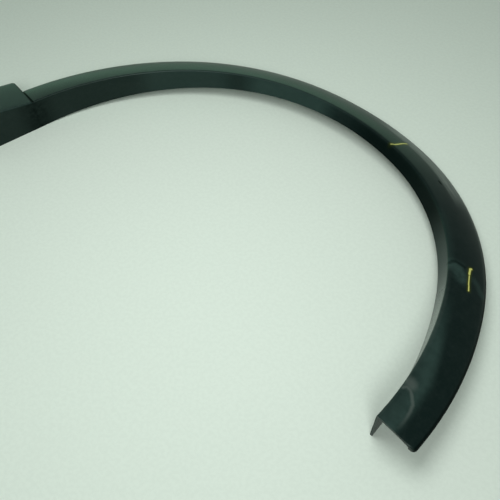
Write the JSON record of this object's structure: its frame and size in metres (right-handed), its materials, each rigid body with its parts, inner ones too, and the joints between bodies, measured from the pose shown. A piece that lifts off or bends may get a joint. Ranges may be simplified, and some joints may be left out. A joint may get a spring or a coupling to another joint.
{
  "type": "wheel arch trim",
  "caption": "Curved black plastic wheel arch trim with a deep inner lip, a wider lapped end moulding, push-in clips and foam edge seals.",
  "frame": {"origin": "centre of the crown arc of the wheel opening, at the height of the floor that the trim lies on", "axes": "+X along the car, +Y up the car towards the crown, +Z out of the car's side and up as the trim lies"},
  "size_m": [0.8421, 0.4626, 0.0658],
  "materials": {
    "black_moulding": "fine grained black polypropylene with a low sheen",
    "foam_seal": "closed-cell foam strip",
    "clip_nylon": "moulded natural nylon",
    "washer_rubber": "soft sealing rubber",
    "screw_steel": "zinc plated steel"
  },
  "bodies": {
    "root": {"arch_moulding": "black_moulding", "end_moulding": "black_moulding", "arch_edge_seal": "foam_seal", "end_edge_seal": "foam_seal", "clip_1": "clip_nylon", "clip_2": "clip_nylon", "clip_3": "clip_nylon", "clip_4": "clip_nylon", "clip_5": "clip_nylon", "clip_6": "clip_nylon", "clip_7": "clip_nylon", "clip_8": "clip_nylon", "clip_9": "clip_nylon", "clip_10": "clip_nylon", "clip_washer_1": "washer_rubber", "clip_washer_2": "washer_rubber", "clip_washer_3": "washer_rubber", "clip_washer_4": "washer_rubber", "clip_washer_5": "washer_rubber", "clip_washer_6": "washer_rubber", "clip_washer_7": "washer_rubber", "clip_washer_8": "washer_rubber", "clip_washer_9": "washer_rubber", "clip_washer_10": "washer_rubber", "joint_screw_1": "screw_steel", "joint_screw_2": "screw_steel"}
  },
  "joints": []
}
